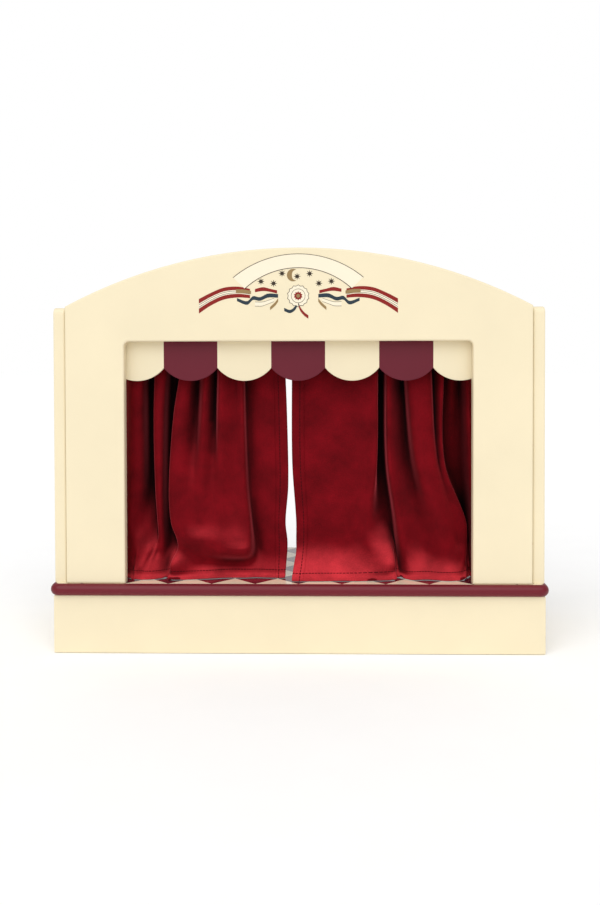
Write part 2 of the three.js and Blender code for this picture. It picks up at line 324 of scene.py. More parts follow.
def print_disc(x, z, radius, ink, points=1, waist=1.0, layer=1):
    """Prints a disc, or a star with this many points."""
    segments = 20 if points == 1 else 2 * points
    circle = bmesh.new()
    bmesh.ops.create_circle(circle, cap_ends=True, segments=segments, radius=radius / 1000)
    if points > 1:
        for number, point in enumerate(circle.verts):
            if number % 2:
                bmesh.ops.scale(circle, vec=(waist, waist, 1), verts=[point])
    bmesh.ops.rotate(circle, matrix=Matrix.Rotation(math.radians(90), 3, "X"), verts=circle.verts)
    bmesh.ops.translate(circle, vec=(emblem_x + x / 1000, face_y, emblem_z + z / 1000), verts=circle.verts)
    walls = bmesh.ops.extrude_face_region(circle, geom=circle.faces[:])
    moved = [item for item in walls["geom"] if isinstance(item, bmesh.types.BMVert)]
    bmesh.ops.translate(circle, vec=(0, -layer * ink_thickness, 0), verts=moved)
    for face in circle.faces:
        face.material_index = ink
    bmesh.ops.recalc_face_normals(circle, faces=circle.faces)
    mesh = bpy.data.meshes.new("disc")
    circle.to_mesh(mesh)
    circle.free()
    emblem.from_mesh(mesh)
    bpy.data.meshes.remove(mesh)


def arched(low_arc, high_arc):
    """A band between two arcs over the middle, each (radius, height of its top, half-angle in degrees)."""

    def place(along, across):
        ends = []
        for radius, top, reach in (low_arc, high_arc):
            angle = math.radians(reach * (2 * along - 1))
            ends.append((radius * math.sin(angle), radius * math.cos(angle) - radius + top))
        return tuple(low + (high - low) * across for low, high in zip(*ends))

    return place


def curve_through(places, values, at):
    """Where the smooth curve through some values is, at a place between the first and the last."""
    i = 0
    while i < len(places) - 2 and at > places[i + 1]:
        i += 1
    slopes = []
    for j in (i, i + 1):
        before = max(j - 1, 0)
        after = min(j + 1, len(places) - 1)
        slopes.append((values[after] - values[before]) / (places[after] - places[before]))
    gap = places[i + 1] - places[i]
    u = min(max((at - places[i]) / gap, 0), 1)
    return (
        values[i] * (2 * u**3 - 3 * u**2 + 1)
        + values[i + 1] * (3 * u**2 - 2 * u**3)
        + gap * slopes[0] * (u**3 - 2 * u**2 + u)
        + gap * slopes[1] * (u**3 - u**2)
    )


def ribbon(side, points, half_widths):
    """A ribbon along a curve through some points, which are given for the right-hand side."""
    steps = [i / (len(points) - 1) for i in range(len(points))]

    def place(along, across):
        x = curve_through(steps, [p[0] for p in points], along)
        z = curve_through(steps, [p[1] for p in points], along)
        half = curve_through(steps, half_widths, along)
        return side * x, z + half * (2 * across - 1)

    return place


banner_rows = ((dark, 0.04), (ivory, 0.92), (dark, 0.04))
for side in (-1, 1):
    tail = ((48, -3.5), (60, -2), (74, -3.5), (87, -9), (99, -16))
    stripes = (
        (red, 0.34),
        (ivory, 0.07),
        (dark, 0.04),
        (ivory, 0.12),
        (dark, 0.04),
        (ivory, 0.07),
        (red, 0.32),
    )
    print_patch(ribbon(side, tail, (4.6, 5.4, 5.9, 6.3, 7.2)), 16, stripes)
    fold = ((47, -2.4), (54, -1.4), (62, -1.2))
    print_patch(ribbon(side, fold, (1.5, 1.9, 1.9)), 10, ((ochre, 1.0),), 2)
    short = ((21, -2), (28, -0.4), (35, 0.8), (43, -0.6))
    print_patch(ribbon(side, short, (1.6, 1.5, 1.9, 1.6)), 12, ((red, 1.0),))
    slate_ribbon = ((20, -6), (30, -5.6), (38, -9), (45, -8), (51, -13), (61, -9.5))
    print_patch(ribbon(side, slate_ribbon, (1.8, 2.0, 1.8, 1.9, 1.8, 1.5)), 18, ((slate, 1.0),))
    pale_ribbon = ((24, -10), (31, -12.5), (36, -14), (43, -14))
    pale_rows = ((dark, 0.09), (ivory, 0.82), (dark, 0.09))
    print_patch(ribbon(side, pale_ribbon, (1.8, 1.9, 2.2, 2.3)), 12, pale_rows)
    ochre_ribbon = ((20, -10), (23, -14), (28, -18.5))
    print_patch(ribbon(side, ochre_ribbon, (1.7, 1.7, 1.5)), 10, ((ochre, 1.0),), 2)
print_patch(arched((78.2, 21.7, 42.6), (102, 35.9, 39.6)), 40, banner_rows, 2)
bow_end = ((0, -12), (-3, -18), (-8, -21.5), (-14, -19.5))
print_patch(ribbon(1, bow_end, (2.0, 1.9, 1.6, 1.6)), 12, ((slate, 1.0),))
bow_end = ((0, -13), (2, -19), (6, -24), (10, -27))
print_patch(ribbon(1, bow_end, (2.0, 1.9, 1.7, 1.7)), 12, ((red, 1.0),), 2)


def crescent(along, across):
    """A waning moon: its outer edge is most of a circle, and its inner edge is drawn in from it."""
    angle = math.radians(60 + 240 * along)
    radius = 6.2
    middle_x = -5
    middle_z = 14.6
    drawn_in = 3.6 * math.sin(math.pi * along) ** 0.8 * across
    x = middle_x + (radius - drawn_in) * math.cos(angle) + drawn_in * 0.4
    z = middle_z + (radius - drawn_in) * math.sin(angle)
    return x, z


print_patch(crescent, 24, ((ochre, 1.0),))
star_places = ((-37, 8.4), (-24.5, 6.4), (-16, 16.3), (-1, 13.3), (11.4, 16), (20.6, 6.4), (33, 8.4))
for x, z in star_places:
    print_disc(x, z, 3.7, dark, 8, 0.4)
print_disc(0, -6, 11.2, dark, 14, 0.9)
print_disc(0, -6, 10.6, ivory, 14, 0.9, layer=2)
print_disc(0, -6, 7.1, dark, layer=3)
print_disc(0, -6, 6.7, ivory, layer=4)
print_disc(0, -6, 4.6, red, 10, 0.72, layer=5)
print_disc(0, -6, 1.9, ochre, layer=6)
printed = mesh_object("printed_emblem", emblem, inks, 30)
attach(printed, "theatre")

# ---- Valance ----
# A 4 mm board sawn into seven scallops, with its lower edges eased. The scallops are painted cream and
# burgundy in turn, and the board is screwed to the back of the panel.

valance_low, valance_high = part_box("valance")
scallops = 7
pitch = (valance_high.x - valance_low.x) / scallops
scallop_depth = 0.013
scallop_radius = (pitch**2 / 4 + scallop_depth**2) / (2 * scallop_depth)
half_angle = math.asin(pitch / 2 / scallop_radius)
# burgundy satin lacquer: the valance's dull wine red, with no gloss to catch the light
burgundy_satin = sprayed_lacquer("burgundy_satin_lacquer", "#641A29", 0.5, 0.0)

board = bmesh.new()
first = valance_low.x + pitch / 2
arc_start = board.verts.new((valance_low.x, valance_low.y, valance_low.z + scallop_depth))
bmesh.ops.spin(
    board,
    geom=[arc_start],
    cent=(first, valance_low.y, valance_low.z + scallop_radius),
    axis=(0, 1, 0),
    angle=-2 * half_angle,
    steps=20,
)
corners = [
    board.verts.new((x, valance_low.y, valance_high.z)) for x in (valance_low.x + pitch, valance_low.x)
]
outline = sorted((v for v in board.verts if v not in corners), key=lambda v: v.co.x)
scallop = board.faces.new([*outline, *corners])
for number in range(1, scallops):
    copy = bmesh.ops.duplicate(board, geom=[scallop, *scallop.edges, *scallop.verts])
    points = [item for item in copy["geom"] if isinstance(item, bmesh.types.BMVert)]
    bmesh.ops.translate(board, vec=(number * pitch, 0, 0), verts=points)
    for item in copy["geom"]:
        if isinstance(item, bmesh.types.BMFace):
            item.material_index = number % 2
bmesh.ops.remove_doubles(board, verts=board.verts, dist=0.00002)
walls = bmesh.ops.extrude_face_region(board, geom=board.faces[:])
bmesh.ops.translate(
    board,
    vec=(0, valance_high.y - valance_low.y, 0),
    verts=[item for item in walls["geom"] if isinstance(item, bmesh.types.BMVert)],
)
bmesh.ops.recalc_face_normals(board, faces=board.faces)
for face in board.faces:
    if abs(face.normal.y) < 0.5:
        face.material_index = int((face.calc_center_median().x - valance_low.x) / pitch) % 2
lower_edges = [
    edge
    for edge in board.edges
    if edge.calc_face_angle(0) > 0.8 and abs(edge.verts[0].co.y - edge.verts[1].co.y) < 1e-5
]
eased_edge = 0.0008
round_edges(board, lower_edges, eased_edge, 2)
valance = mesh_object("scalloped_valance", board, [cream, burgundy_satin])
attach(valance, "theatre")
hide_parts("valance")

# ---- Blocks, dowels and curtain rod ----
# Bare beech: the four blocks glued inside the plinth's corners, the dowels glued between the panel and the
# side boards, and the rod, which is pushed into a blind hole in each side board.

# sanded beech: pinkish tan, with the short dark flecks and faint long grain of a turned rod
beech, beech_surface = new_material("sanded_beech", 0.55)
beech_place = add_node(
    beech,
    "ShaderNodeMapping",
    {0: add_node(beech, "ShaderNodeTexCoord").outputs["Object"], "Scale": (0.09, 1.0, 1.0)},
)
grain = add_node(
    beech,
    "ShaderNodeTexNoise",
    {"Vector": beech_place.outputs[0], "Scale": per_metre(2.2), "Detail": 3.0, "Distortion": 0.4},
)
grain_colour = add_node(
    beech,
    "ShaderNodeMix",
    {0: grain.outputs["Fac"], 6: linear("#E6C596"), 7: linear("#BF945F")},
    data_type="RGBA",
)
flecks = add_node(beech, "ShaderNodeTexNoise", {"Vector": beech_place.outputs[0], "Scale": per_metre(0.5)})
fleck_depth = add_node(
    beech,
    "ShaderNodeMapRange",
    {"Value": flecks.outputs["Fac"], "From Min": 0.66, "From Max": 0.74, "To Min": 0.0, "To Max": 0.55},
)
beech_colour = add_node(
    beech,
    "ShaderNodeMix",
    {0: fleck_depth.outputs["Result"], 6: grain_colour.outputs[2], 7: linear("#8E6238")},
    data_type="RGBA",
)
beech.node_tree.links.new(beech_colour.outputs[2], beech_surface.inputs["Base Color"])
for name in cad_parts:
    if "dowel" in name or name == "curtain_rod" or name.startswith("corner_block_") and "screw" not in name:
        finish_node(name, beech)

# ---- Screws ----
# Zinc-plated wood screws: up through the floor into the side boards and the panel's legs, up through the
# corner blocks into the floor, and through the valance into the back of the panel.

# zinc plating: a pale, slightly blue metal whose shine is broken by a faint cloudy bloom
steel, steel_surface = new_material("zinc_plated_steel", 0.35)
steel_surface.inputs["Metallic"].default_value = 1.0
bloom = add_node(
    steel,
    "ShaderNodeTexNoise",
    {
        "Vector": add_node(steel, "ShaderNodeTexCoord").outputs["Object"],
        "Scale": per_metre(1.5),
        "Detail": 2.0,
    },
)
zinc_colour = add_node(
    steel,
    "ShaderNodeMix",
    {0: bloom.outputs["Fac"], 6: linear("#D2D5D8"), 7: linear("#B2B5B3")},
    data_type="RGBA",
)
steel.node_tree.links.new(zinc_colour.outputs[2], steel_surface.inputs["Base Color"])
bloom_shine = add_node(
    steel, "ShaderNodeMapRange", {"Value": bloom.outputs["Fac"], "To Min": 0.25, "To Max": 0.5}
)
steel.node_tree.links.new(bloom_shine.outputs["Result"], steel_surface.inputs["Roughness"])
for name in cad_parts:
    if "screw" in name:
        finish_node(name, steel)

# ---- Left curtain ----
# Red cotton velvet, cut wider than the half of the opening that it covers. A sleeve sewn along its top is
# gathered on the rod, the folds fall from there, and the last few millimetres of its foot lie on the stage.

rod_low, rod_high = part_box("curtain_rod")
rod_y = (rod_low.y + rod_high.y) / 2
rod_z = (rod_low.z + rod_high.z) / 2
cell = 0.004  # the simulated cloth's squares
cloth_length = 0.228  # from the sleeve's seam to the cut edge
foot_on_floor = 0.004  # how much of it lies on the stage
sleeve_rows = 11
sleeve_radius = 0.0064
sleeve_turn = 300  # degrees round the rod, from the seam back to the seam
sleeve_seam_z = rod_z - 0.0095
seam_forward = 0.0031  # how far the seam hangs in front of the rod's middle
raw_edge = Vector((0, 0.0022, 0.0005))  # from the seam to the sleeve's raw edge, tucked in behind it
ruffle_depth = 0.0011
ruffle_pitch = 0.0131
seam_blend = 0.016  # the gathers turn into the folds over this height
drop_steps = 110
stage_clearance = 0.0022
hem_width = 0.009
hem_overlap = 0.003  # the hem strip runs on this far past its fold
hem_forward = 0.0005  # the strip lies this far in front of the velvet
foot_hem = 0.0105
side_seam = 0.0079
foot_seam = 0.0100
settling_frames = 36
times = 10  # the simulation is steadier on a cloth that is ten times as big
leg_back_y = panel_high.y
opening_half = 0.174
leg_outside = 0.232


def hung_cloth(folds, heights):
    """The cloth as it is hung before it settles, and where each of its points was on the flat cut cloth.

    Each fold line is a row of (x, forward) pairs in millimetres, one for each height. The rows go from the
    leading edge out.
    """
    widths = [0.0]
    for one, other in zip(folds, folds[1:]):
        lengths = [math.dist(a, b) for a, b in zip(one, other)]
        widths.append(widths[-1] + sum(lengths) / len(lengths) / 1000)
    columns = round(widths[-1] / cell)
    rows = round(cloth_length / cell)
    levels = [-h / 1000 for h in heights]

    def at_height(fold, z, which):
        values = [pair[which] / 1000 for pair in fold]
        return curve_through(levels, values, min(max(-z, levels[0]), levels[-1]))

    def place(s, z):
        x = curve_through(widths, [at_height(fold, z, 0) for fold in folds], s)
        forward = curve_through(widths, [at_height(fold, z, 1) for fold in folds], s)
        return Vector((x, rod_y - forward, z))

    cloth = bmesh.new()
    bmesh.ops.create_grid(cloth, x_segments=columns, y_segments=rows + sleeve_rows, size=0.5)
    by_place = {}
    for point in cloth.verts:
        column = round((point.co.x + 0.5) * columns)
        row = round((0.5 - point.co.y) * (rows + sleeve_rows)) - sleeve_rows
        by_place[column, row] = point
    flat = {}
    for column in range(columns + 1):
        s = column / columns * widths[-1]
        here = place(s, sleeve_seam_z)
        ruffle = ruffle_depth * math.sin(2 * math.pi * s / ruffle_pitch + 2.3 * math.sin(s / 0.021))
        front = Vector((here.x, rod_y - seam_forward - ruffle - 0.25 * (rod_y - here.y), sleeve_seam_z))
        for row in range(-sleeve_rows, 1):
            # from the seam up behind the rod, over it, and down its front to the seam
            turn = math.radians(sleeve_turn / 2 - sleeve_turn * (row + sleeve_rows - 1) / (sleeve_rows - 2))
            radius = sleeve_radius + ruffle
            around = Vector((here.x, rod_y + radius * math.sin(turn), rod_z + radius * math.cos(turn)))
            if row == -sleeve_rows:
                around = front + raw_edge
            by_place[column, row].co = front if row == 0 else around
            flat[by_place[column, row].index] = (s, row * cell)
        drop = [front]
        for step in range(1, drop_steps + 1):
            z = sleeve_seam_z + (stage_z + stage_clearance - sleeve_seam_z) * step / drop_steps
            blend = min(1, (sleeve_seam_z - z) / seam_blend)
            blend = blend * blend * (3 - 2 * blend)
            lower = place(s, z)
            lower.y = front.y + (lower.y - front.y) * blend
            drop.append(lower)
        drop.append(drop[-1] - Vector((0, foot_on_floor, 0)))
        # each column's rows are spread evenly over its own way down, so all of them reach the stage
        down = [0.0]
        for upper, lower in zip(drop, drop[1:]):
            down.append(down[-1] + (lower - upper).length)
        for row in range(1, rows + 1):
            reached = down[-1] * row / rows
            last = next(i for i, length in enumerate(down) if length >= reached - 1e-9)
            share = (reached - down[last - 1]) / (down[last] - down[last - 1])
            by_place[column, row].co = drop[last - 1].lerp(drop[last], share)
            flat[by_place[column, row].index] = (s, row * cell)
    return cloth, flat, widths[-1]


def collider(low, high):
    """A temporary box that the cloth can't pass."""
    shape = bpy.data.meshes.new("collider")
    box = box_mesh(Vector(low) * times, Vector(high) * times)
    box.to_mesh(shape)
    box.free()
    block = bpy.data.objects.new("collider", shape)
    bpy.context.scene.collection.objects.link(block)
    block.modifiers.new("collision", "COLLISION")
    block.collision.thickness_outer = 0.006
    block.collision.cloth_friction = 20
    return block


def settled_cloth(cloth, flat, frames):
    """Lets the hung cloth fall into place under its own weight, and gives its mesh."""
    shape = bpy.data.meshes.new("cloth")
    cloth.to_mesh(shape)
    cloth.free()
    shape.transform(Matrix.Scale(times, 4))
    sheet = bpy.data.objects.new("cloth", shape)
    bpy.context.scene.collection.objects.link(sheet)
    sheet.shape_key_add(name="hung")
    cut = sheet.shape_key_add(name="cut")
    for index, (s, t) in flat.items():
        cut.data[index].co = Vector((s, 0, -t)) * times
    pinned = sheet.vertex_groups.new(name="pinned")
    for index, (s, t) in flat.items():
        hold = 0.8 if s < 0.03 else 0.74
        pinned.add([index], 1.0 if t <= 0 else hold, "REPLACE")
    cotton = sheet.modifiers.new("cloth", "CLOTH")
    cotton.settings.quality = 8
    cotton.settings.mass = 0.35
    cotton.settings.air_damping = 2
    cotton.settings.tension_stiffness = 30
    cotton.settings.compression_stiffness = 30
    cotton.settings.shear_stiffness = 12
    cotton.settings.bending_stiffness = 1.5
    cotton.settings.vertex_group_mass = "pinned"
    cotton.settings.pin_stiffness = 2.0
    cotton.settings.rest_shape_key = cut
    cotton.collision_settings.collision_quality = 4
    cotton.collision_settings.distance_min = 0.008
    cotton.collision_settings.use_self_collision = True
    cotton.collision_settings.self_distance_min = 0.012
    cotton.point_cache.frame_start = 1
    cotton.point_cache.frame_end = frames
    blocks = [
        collider((-0.3, -0.15, stage_z - 0.02), (0.3, 0.15, stage_z)),
        collider((-leg_outside, face_y, stage_z - 0.01), (-opening_half, leg_back_y, 0.33)),
        collider((opening_half, face_y, stage_z - 0.01), (leg_outside, leg_back_y, 0.33)),
    ]
    for frame_number in range(1, frames + 1):
        bpy.context.scene.frame_set(frame_number)
    graph = bpy.context.evaluated_depsgraph_get()
    result = bpy.data.meshes.new_from_object(sheet.evaluated_get(graph))
    result.transform(Matrix.Scale(1 / times, 4))
    for thing in [sheet, *blocks]:
        bpy.data.objects.remove(thing)
    bpy.context.scene.frame_set(1)
    return result


def openness_for_painted_shade(mesh):
    """How much of the room in front of each point of the cloth is free of other folds, from 0 to 1; the
    velvet's colour paints shade with it.
    """
    tree = BVHTree.FromPolygons([v.co for v in mesh.vertices], [list(p.vertices) for p in mesh.polygons])
    reach = 0.034
    directions = [
        Vector((math.sin(across) * math.cos(rise), -math.cos(across) * math.cos(rise), math.sin(rise)))
        for across in (-1.25, -0.95, -0.65, -0.35, -0.1, 0.1, 0.35, 0.65, 0.95, 1.25)
        for rise in (-0.45, 0.1, 0.6)
    ]
    values = []
    for vertex in mesh.vertices:
        # a ray starts just off the cloth, so that it doesn't meet the faces round its own point
        start = vertex.co + Vector((0, -0.0008, 0))
        free = 0
        for direction in directions:
            distance = tree.ray_cast(start, direction, reach)[3]
            free += 1 if distance is None else distance / reach
        values.append(free / len(directions))
    return values


def curtain_pieces(side, folds, heights, frames):
    """One curtain's cloth and its hem."""
    cloth, flat, width = hung_cloth(folds, heights)
    mesh = settled_cloth(cloth, flat, frames)
    free = openness_for_painted_shade(mesh)
    pieces = []
    for name, last, forward in (
        (f"{side}_curtain_velvet", width, 0.0),
        (f"{side}_curtain_hem_velvet", hem_width + hem_overlap, hem_forward),
    ):
        part = bmesh.new()
        part.from_mesh(mesh)
        map_layer = part.loops.layers.uv.new("cut_cloth")
        painted_shade_layer = part.verts.layers.float.new("openness_for_painted_shade")
        painted_top_light_layer = part.verts.layers.float.new("facing_up_painted_light")
        thick_layer = part.verts.layers.deform.verify()
        for point in part.verts:
            s, t = flat[point.index]
            outwards = point.normal if point.normal.y < 0 else -point.normal
            # painted shade: the fold's openness darkens the velvet's colour towards black in the valleys
            point[painted_shade_layer] = free[point.index] if t >= 0 else 0.8
            # painted light: how far the cloth faces up, which lightens its colour as if lit from above
            point[painted_top_light_layer] = outwards.z if t >= 0 else 0.0
            sewn = t <= 0 or t > cloth_length - foot_hem or s < hem_width
            point[thick_layer][0] = 1.0 if sewn else 0.6
        for face in part.faces:
            for loop in face.loops:
                s, t = flat[loop.vert.index]
                loop[map_layer].uv = (s, t - cloth_length)
        if side == "left":
            bmesh.ops.reverse_faces(part, faces=part.faces)
        gone = [
            face
            for face in part.faces
            if sum(loop[map_layer].uv.x for loop in face.loops) / len(face.loops) > last
        ]
        bmesh.ops.delete(part, geom=gone, context="FACES")
        bmesh.ops.translate(part, vec=(0, -forward, 0), verts=part.verts)
        piece = mesh_object(name, part, [velvet, velvet_back], 180)
        piece.vertex_groups.new(name="thickness")
        finer = piece.modifiers.new("finer", "SUBSURF")
        finer.levels = 1
        finer.render_levels = 1
        thick = piece.modifiers.new("thick", "SOLIDIFY")
        thick.thickness = 0.0016
        thick.offset = -1
        thick.vertex_group = "thickness"
        thick.material_offset = 1
        thick.material_offset_rim = 0
        pieces.append(piece)
    return pieces, width


# red cotton velvet: painted shade makes it nearly black in the valleys and deep red where it hangs open,
# and a painted top light makes it bright where the cloth faces up; it is brighter at random where the pile
# is brushed, and the sheen draws a pink bloom along each fold's edge
velvet, velvet_surface = new_material("red_cotton_velvet", 0.9)
velvet_surface.inputs["Sheen Weight"].default_value = 1.0
velvet_surface.inputs["Sheen Roughness"].default_value = 0.34
velvet_surface.inputs["Sheen Tint"].default_value = linear("#E0525C")
velvet_surface.inputs["Specular IOR Level"].default_value = 0.08
cut_place = add_node(velvet, "ShaderNodeUVMap", uv_map="cut_cloth").outputs["UV"]
cut_parts = add_node(velvet, "ShaderNodeSeparateXYZ", {0: cut_place})
brushed = add_node(
    velvet,
    "ShaderNodeTexNoise",
    {"Vector": cut_place, "Scale": per_metre(34), "Detail": 4.0, "Roughness": 0.62},
)
pile = add_node(velvet, "ShaderNodeTexNoise", {"Vector": cut_place, "Scale": per_metre(1.1), "Detail": 2.0})
# painted shade: where other folds close in front of the cloth, its colour is mixed towards nearly black
painted_fold_shade = add_node(
    velvet,
    "ShaderNodeMapRange",
    {
        "Value": add_node(velvet, "ShaderNodeAttribute", attribute_name="openness_for_painted_shade").outputs["Fac"],
        "From Min": 0.42,
        "From Max": 0.95,
        "To Min": 0.0,
        "To Max": 1.0,
    },
    interpolation_type="SMOOTHSTEP",
)
nap = add_node(
    velvet,
    "ShaderNodeMapRange",
    {"Value": brushed.outputs["Fac"], "From Min": 0.3, "From Max": 0.7, "To Min": 0.78, "To Max": 1.5},
)
speck = add_node(
    velvet,
    "ShaderNodeMapRange",
    {"Value": pile.outputs["Fac"], "From Min": 0.25, "From Max": 0.75, "To Min": 0.82, "To Max": 1.18},
)
velvet_shade = add_node(
    velvet,
    "ShaderNodeMath",
    {0: nap.outputs["Result"], 1: speck.outputs["Result"]},
    operation="MULTIPLY",
)
pile_with_painted_shade = add_node(
    velvet,
    "ShaderNodeMix",
    {0: painted_fold_shade.outputs["Result"], 6: linear("#0C0001"), 7: linear("#61050E")},
    data_type="RGBA",
)
# painted light: the velvet is mixed towards a bright red where the cloth faces up, as if lit from above
facing_up_painted_light = add_node(
    velvet,
    "ShaderNodeMapRange",
    {
        "Value": add_node(velvet, "ShaderNodeAttribute", attribute_name="facing_up_painted_light").outputs["Fac"],
        "From Min": 0.08,
        "From Max": 0.72,
        "To Min": 0.0,
        "To Max": 0.85,
    },
    interpolation_type="SMOOTHSTEP",
)
pile_with_painted_top_light = add_node(
    velvet,
    "ShaderNodeMix",
    {0: facing_up_painted_light.outputs["Result"], 6: pile_with_painted_shade.outputs[2], 7: linear("#B02C34")},
    data_type="RGBA",
)
pile_shaded = add_node(
    velvet,
    "ShaderNodeMix",
    {0: 1.0, 6: pile_with_painted_top_light.outputs[2], 7: velvet_shade.outputs["Value"]},
    data_type="RGBA",
    blend_type="MULTIPLY",
)


def stitched_line(across, along):
    """1 where there is a stitch: across is the distance from the seam, and along the place on it."""
    half_thread = 0.00042
    stitch_pitch = 0.0034
    distance = add_node(velvet, "ShaderNodeMath", {0: across}, operation="ABSOLUTE")
    near = add_node(
        velvet, "ShaderNodeMath", {0: distance.outputs[0], 1: half_thread}, operation="LESS_THAN"
    )
    turns = add_node(
        velvet, "ShaderNodeMath", {0: along, 1: 2 * math.pi / stitch_pitch}, operation="MULTIPLY"
    )
    wave = add_node(velvet, "ShaderNodeMath", {0: turns.outputs[0]}, operation="SINE")
    dash = add_node(velvet, "ShaderNodeMath", {0: wave.outputs[0], 1: -0.72}, operation="GREATER_THAN")
    return add_node(
        velvet, "ShaderNodeMath", {0: near.outputs[0], 1: dash.outputs[0]}, operation="MULTIPLY"
    ).outputs[0]


from_side_seam = add_node(
    velvet, "ShaderNodeMath", {0: cut_parts.outputs["X"], 1: side_seam}, operation="SUBTRACT"
)
from_foot_seam = add_node(
    velvet, "ShaderNodeMath", {0: cut_parts.outputs["Y"], 1: foot_seam}, operation="ADD"
)
stitches = add_node(
    velvet,
    "ShaderNodeMath",
    {
        0: stitched_line(from_side_seam.outputs[0], cut_parts.outputs["Y"]),
        1: stitched_line(from_foot_seam.outputs[0], cut_parts.outputs["X"]),
    },
    operation="MAXIMUM",
)
sewn_colour = add_node(
    velvet,
    "ShaderNodeMix",
    {0: stitches.outputs[0], 6: pile_shaded.outputs[2], 7: linear("#3C050B")},
    data_type="RGBA",
)
velvet.node_tree.links.new(sewn_colour.outputs[2], velvet_surface.inputs["Base Color"])
velvet_bump = add_node(
    velvet,
    "ShaderNodeBump",
    {
        "Height": add_node(
            velvet, "ShaderNodeMath", {0: pile.outputs["Fac"], 1: stitches.outputs[0]}, operation="SUBTRACT"
        ).outputs[0],
        "Strength": 0.5,
        "Distance": 0.0003,
    },
)
velvet.node_tree.links.new(velvet_bump.outputs["Normal"], velvet_surface.inputs["Normal"])

# the velvet's bare back: a duller red, with the fine checks of a plain weave
velvet_back, velvet_back_surface = new_material("velvet_back_weave", 0.85)
weave = add_node(
    velvet_back,
    "ShaderNodeTexChecker",
    {
        0: add_node(velvet_back, "ShaderNodeUVMap", uv_map="cut_cloth").outputs["UV"],
        1: linear("#6E1622"),
        2: linear("#591019"),
        "Scale": per_metre(0.6),
    },
)
velvet_back.node_tree.links.new(weave.outputs["Color"], velvet_back_surface.inputs["Base Color"])

left_fold_heights = (290, 235, 165, 126, 108, 97, 86, 73)
left_folds = (
    ((-14, 0), (-12, 0), (-11, 0), (-14, 0), (-12, 0), (-12, 1), (-13, 3), (-14, 8)),  # leading edge
    ((-25, 1), (-24, 1), (-23, 0), (-24, 0), (-24, 1), (-24, 1), (-24, 3), (-24, 8)),
    ((-39, 1), (-38, 1), (-37, 1), (-36, 1), (-35, 0), (-35, 0), (-35, 2), (-35, 7)),
    ((-54, -7), (-53, -5), (-50, -3), (-47, -3), (-45, -4), (-44, -3), (-44, 0), (-44, 6)),
    ((-58, 8), (-57, 9), (-55, 11), (-51, 13), (-50, 16), (-51, 19), (-55, 5), (-56, 8)),  # last pleat
    ((-68, 1), (-67, 4), (-66, 10), (-64, 15), (-63, 20), (-64, 22), (-67, 5), (-68, 8)),
    ((-80, 10), (-81, 12), (-79, 13), (-77, 16), (-76, 20), (-77, 20), (-78, 5), (-79, 9)),  # second pleat
    ((-86, -8), (-87, -2), (-89, 10), (-90, 15), (-90, 20), (-90, 16), (-90, 6), (-90, 12)),
    ((-95, 9), (-98, 11), (-101, 13), (-102, 15), (-102, 20), (-102, 14), (-102, 8), (-103, 14)),
    ((-105, -9), (-107, -5), (-111, 10), (-113, 14), (-113, 17), (-112, 11), (-112, 12), (-114, 16)),
    ((-112, 8), (-118, 9), (-123, 12), (-124, 12), (-121, 11), (-119, 11), (-122, 15), (-124, 17)),
    # belly's rim
    ((-120, 6), (-129, 7), (-134, 9), (-132, 9), (-126, 6), (-125, 8), (-131, 14), (-133, 17)),
    ((-123, -12), (-130, -14), (-132, -14), (-131, -12), (-128, -10), (-128, -7), (-133, -2), (-134, 6)),
    ((-132, -12), (-136, -13), (-137, -12), (-136, -10), (-135, -8), (-136, -5), (-138, 2), (-139, 10)),
    # narrow pleat
    ((-138, 7), (-141, 8), (-142, 8), (-142, 6), (-142, 4), (-143, 4), (-145, 8), (-147, 15)),
    ((-148, 5), (-150, 6), (-149, 5), (-147, 3), (-146, 2), (-148, 4), (-152, 10), (-155, 17)),
    ((-150, -13), (-151, -14), (-150, -13), (-148, -8), (-149, -3), (-152, 3), (-158, 10), (-161, 17)),
    ((-158, -16), (-158, -17), (-157, -12), (-158, -2), (-161, 4), (-163, 8), (-165, 12), (-167, 17)),
    ((-162, 5), (-162, 6), (-164, 5), (-171, 3), (-170, 6), (-170, 8), (-171, 10), (-171, 14)),
    ((-172, 7), (-172, 8), (-174, 6), (-177, 4), (-176, 3), (-176, 4), (-176, 5), (-176, 8)),
    # outer edge
    ((-181, -6), (-182, -7), (-184, -8), (-184, -8), (-184, -6), (-184, -5), (-184, -3), (-183, 0)),
)
(left_cloth, left_hem), left_width = curtain_pieces(
    "left", left_folds, left_fold_heights, settling_frames
)


# ---- Right curtain ----
# The same cloth and sleeve. It hangs flatter beside its leading edge, and its outer folds fan out to the
# floor. Each curtain's hem is pulled along the rod, and the cloth bunches towards its fixed outer end.

